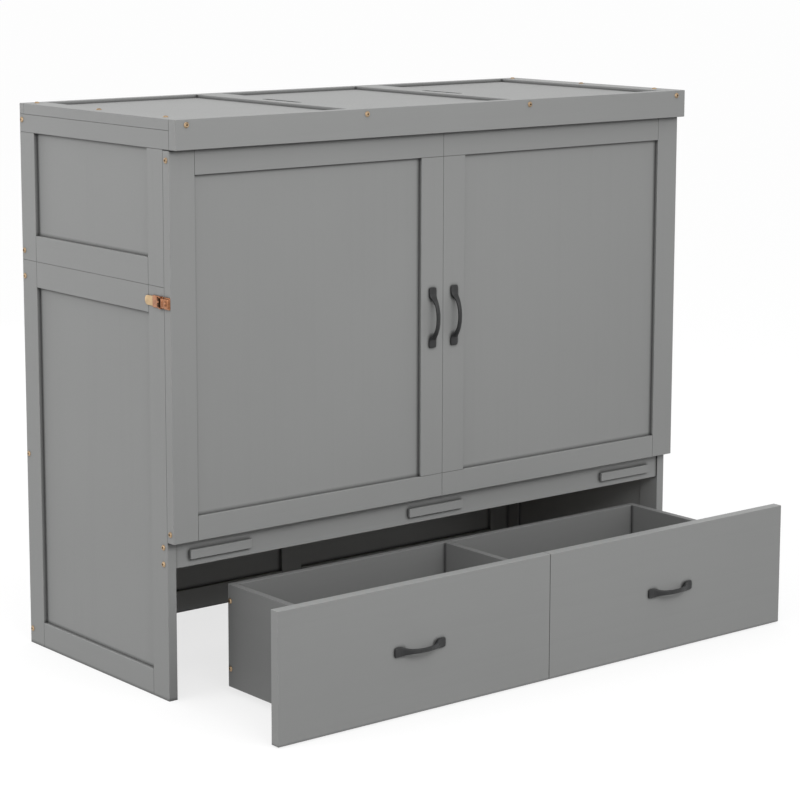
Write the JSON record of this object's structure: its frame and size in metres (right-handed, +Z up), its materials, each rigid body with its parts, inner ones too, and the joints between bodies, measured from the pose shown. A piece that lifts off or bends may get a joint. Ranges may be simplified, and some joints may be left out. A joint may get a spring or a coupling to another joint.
{
  "type": "cabinet bed",
  "caption": "Panelled cabinet whose front drops forward and unfolds into a bed, over a wheeled storage drawer.",
  "frame": {"origin": "on the floor, midway between the outer faces of the two sides and midway from the face of the drawn-out drawer to the back", "axes": "+X to the right of someone facing the bed, +Y towards the back, +Z up"},
  "size_m": [1.6319, 1.084, 1.3692],
  "materials": {
    "grey_paint": "satin grey paint over wood grain",
    "bare_wood": "sanded, unpainted",
    "copper_finish": "satin copper tone",
    "black_iron": "black, slightly rough",
    "steel": "zinc plated",
    "wheel_plastic": "matt"
  },
  "bodies": {
    "cabinet": {"left_side_stiles": "grey_paint", "left_side_rails": "grey_paint", "left_side_panels": "grey_paint", "left_top_rail": "grey_paint", "right_side_stiles": "grey_paint", "right_side_rails": "grey_paint", "right_side_panels": "grey_paint", "right_top_rail": "grey_paint", "back_stiles": "grey_paint", "back_rails": "grey_paint", "back_panels": "grey_paint", "lid_side_rails": "grey_paint", "lid_cleats": "grey_paint", "lid_dividers": "grey_paint", "lid_panels": "grey_paint", "lid_fascia": "grey_paint", "lid_rear_rail": "grey_paint", "hinge_rail": "grey_paint", "support_bars": "grey_paint", "deck_ledgers": "bare_wood", "deck_slats": "bare_wood", "rail_hinge_plates": "steel", "rail_hinge_pins": "steel", "latch_plate": "copper_finish", "cabinet_bolts": "copper_finish", "lid_bolts": "copper_finish"},
    "front": {"front_stiles": "grey_paint", "front_rails": "grey_paint", "front_panels": "grey_paint", "front_pulls": "black_iron", "front_edge_bolts": "copper_finish", "latch_keeper": "copper_finish", "front_hinge_plates": "steel", "front_leaf_hinge_plates": "steel", "leaf_hinge_pins": "steel"},
    "leaf": {"leaf_hinge_plates": "steel", "leaf_side_rails": "bare_wood", "leaf_bearers": "bare_wood", "leaf_end_rails": "bare_wood", "leaf_boards": "bare_wood", "leg_pivot_bolts": "steel"},
    "foot_leg_frame": {"foot_legs": "bare_wood", "foot_leg_rail": "bare_wood"},
    "knee_leg_frame": {"knee_legs": "bare_wood", "knee_leg_rail": "bare_wood"},
    "latch": {"latch_arm": "copper_finish"},
    "drawer": {"drawer_front": "grey_paint", "drawer_sides": "grey_paint", "drawer_floor": "grey_paint", "drawer_back": "grey_paint", "drawer_divider": "grey_paint", "drawer_pulls": "black_iron", "drawer_bolts": "copper_finish", "wheel_brackets": "steel"},
    "front_left_wheel": {"front_left_wheel": "wheel_plastic"},
    "rear_left_wheel": {"rear_left_wheel": "wheel_plastic"},
    "front_right_wheel": {"front_right_wheel": "wheel_plastic"},
    "rear_right_wheel": {"rear_right_wheel": "wheel_plastic"}
  },
  "joints": [
    {"name": "front_drop", "type": "hinge", "parent": "cabinet", "child": "front", "pos_m": [0, -0.0853, 0.382], "axis": [1, 0, 0], "range_deg": [0, 90]},
    {"name": "leaf_fold", "type": "hinge", "parent": "front", "child": "leaf", "pos_m": [0, -0.0818, 1.292], "axis": [1, 0, 0], "range_deg": [0, 180]},
    {"name": "foot_leg_fold", "type": "hinge", "parent": "leaf", "child": "foot_leg_frame", "pos_m": [0, -0.0561, 0.8435], "axis": [-1, 0, 0], "range_deg": [0, 90]},
    {"name": "knee_leg_fold", "type": "hinge", "parent": "leaf", "child": "knee_leg_frame", "pos_m": [0, -0.0561, 1.2425], "axis": [1, 0, 0], "range_deg": [0, 90]},
    {"name": "latch_swing", "type": "hinge", "parent": "cabinet", "child": "latch", "pos_m": [-0.8157, -0.0755, 0.945], "axis": [0, 0, -1], "range_deg": [0, 120]},
    {"name": "drawer_slide", "type": "slide", "parent": "cabinet", "child": "drawer", "axis": [0, -1, 0], "range_m": [-0.4025, 0.1]},
    {"name": "front_left_wheel_roll", "type": "hinge", "parent": "drawer", "child": "front_left_wheel", "pos_m": [-0.552, -0.428, 0.015], "axis": [1, 0, 0], "continuous": true},
    {"name": "rear_left_wheel_roll", "type": "hinge", "parent": "drawer", "child": "rear_left_wheel", "pos_m": [-0.552, -0.176, 0.015], "axis": [1, 0, 0], "continuous": true},
    {"name": "front_right_wheel_roll", "type": "hinge", "parent": "drawer", "child": "front_right_wheel", "pos_m": [0.552, -0.428, 0.015], "axis": [1, 0, 0], "continuous": true},
    {"name": "rear_right_wheel_roll", "type": "hinge", "parent": "drawer", "child": "rear_right_wheel", "pos_m": [0.552, -0.176, 0.015], "axis": [1, 0, 0], "continuous": true}
  ],
  "couplings": [
    {"joint": "leaf_fold", "follows": "front_drop", "ratio": 2},
    {"joint": "front_left_wheel_roll", "follows": "drawer_slide", "rad_per_m": 66.667},
    {"joint": "rear_left_wheel_roll", "follows": "drawer_slide", "rad_per_m": 66.667},
    {"joint": "front_right_wheel_roll", "follows": "drawer_slide", "rad_per_m": 66.667},
    {"joint": "rear_right_wheel_roll", "follows": "drawer_slide", "rad_per_m": 66.667}
  ]
}
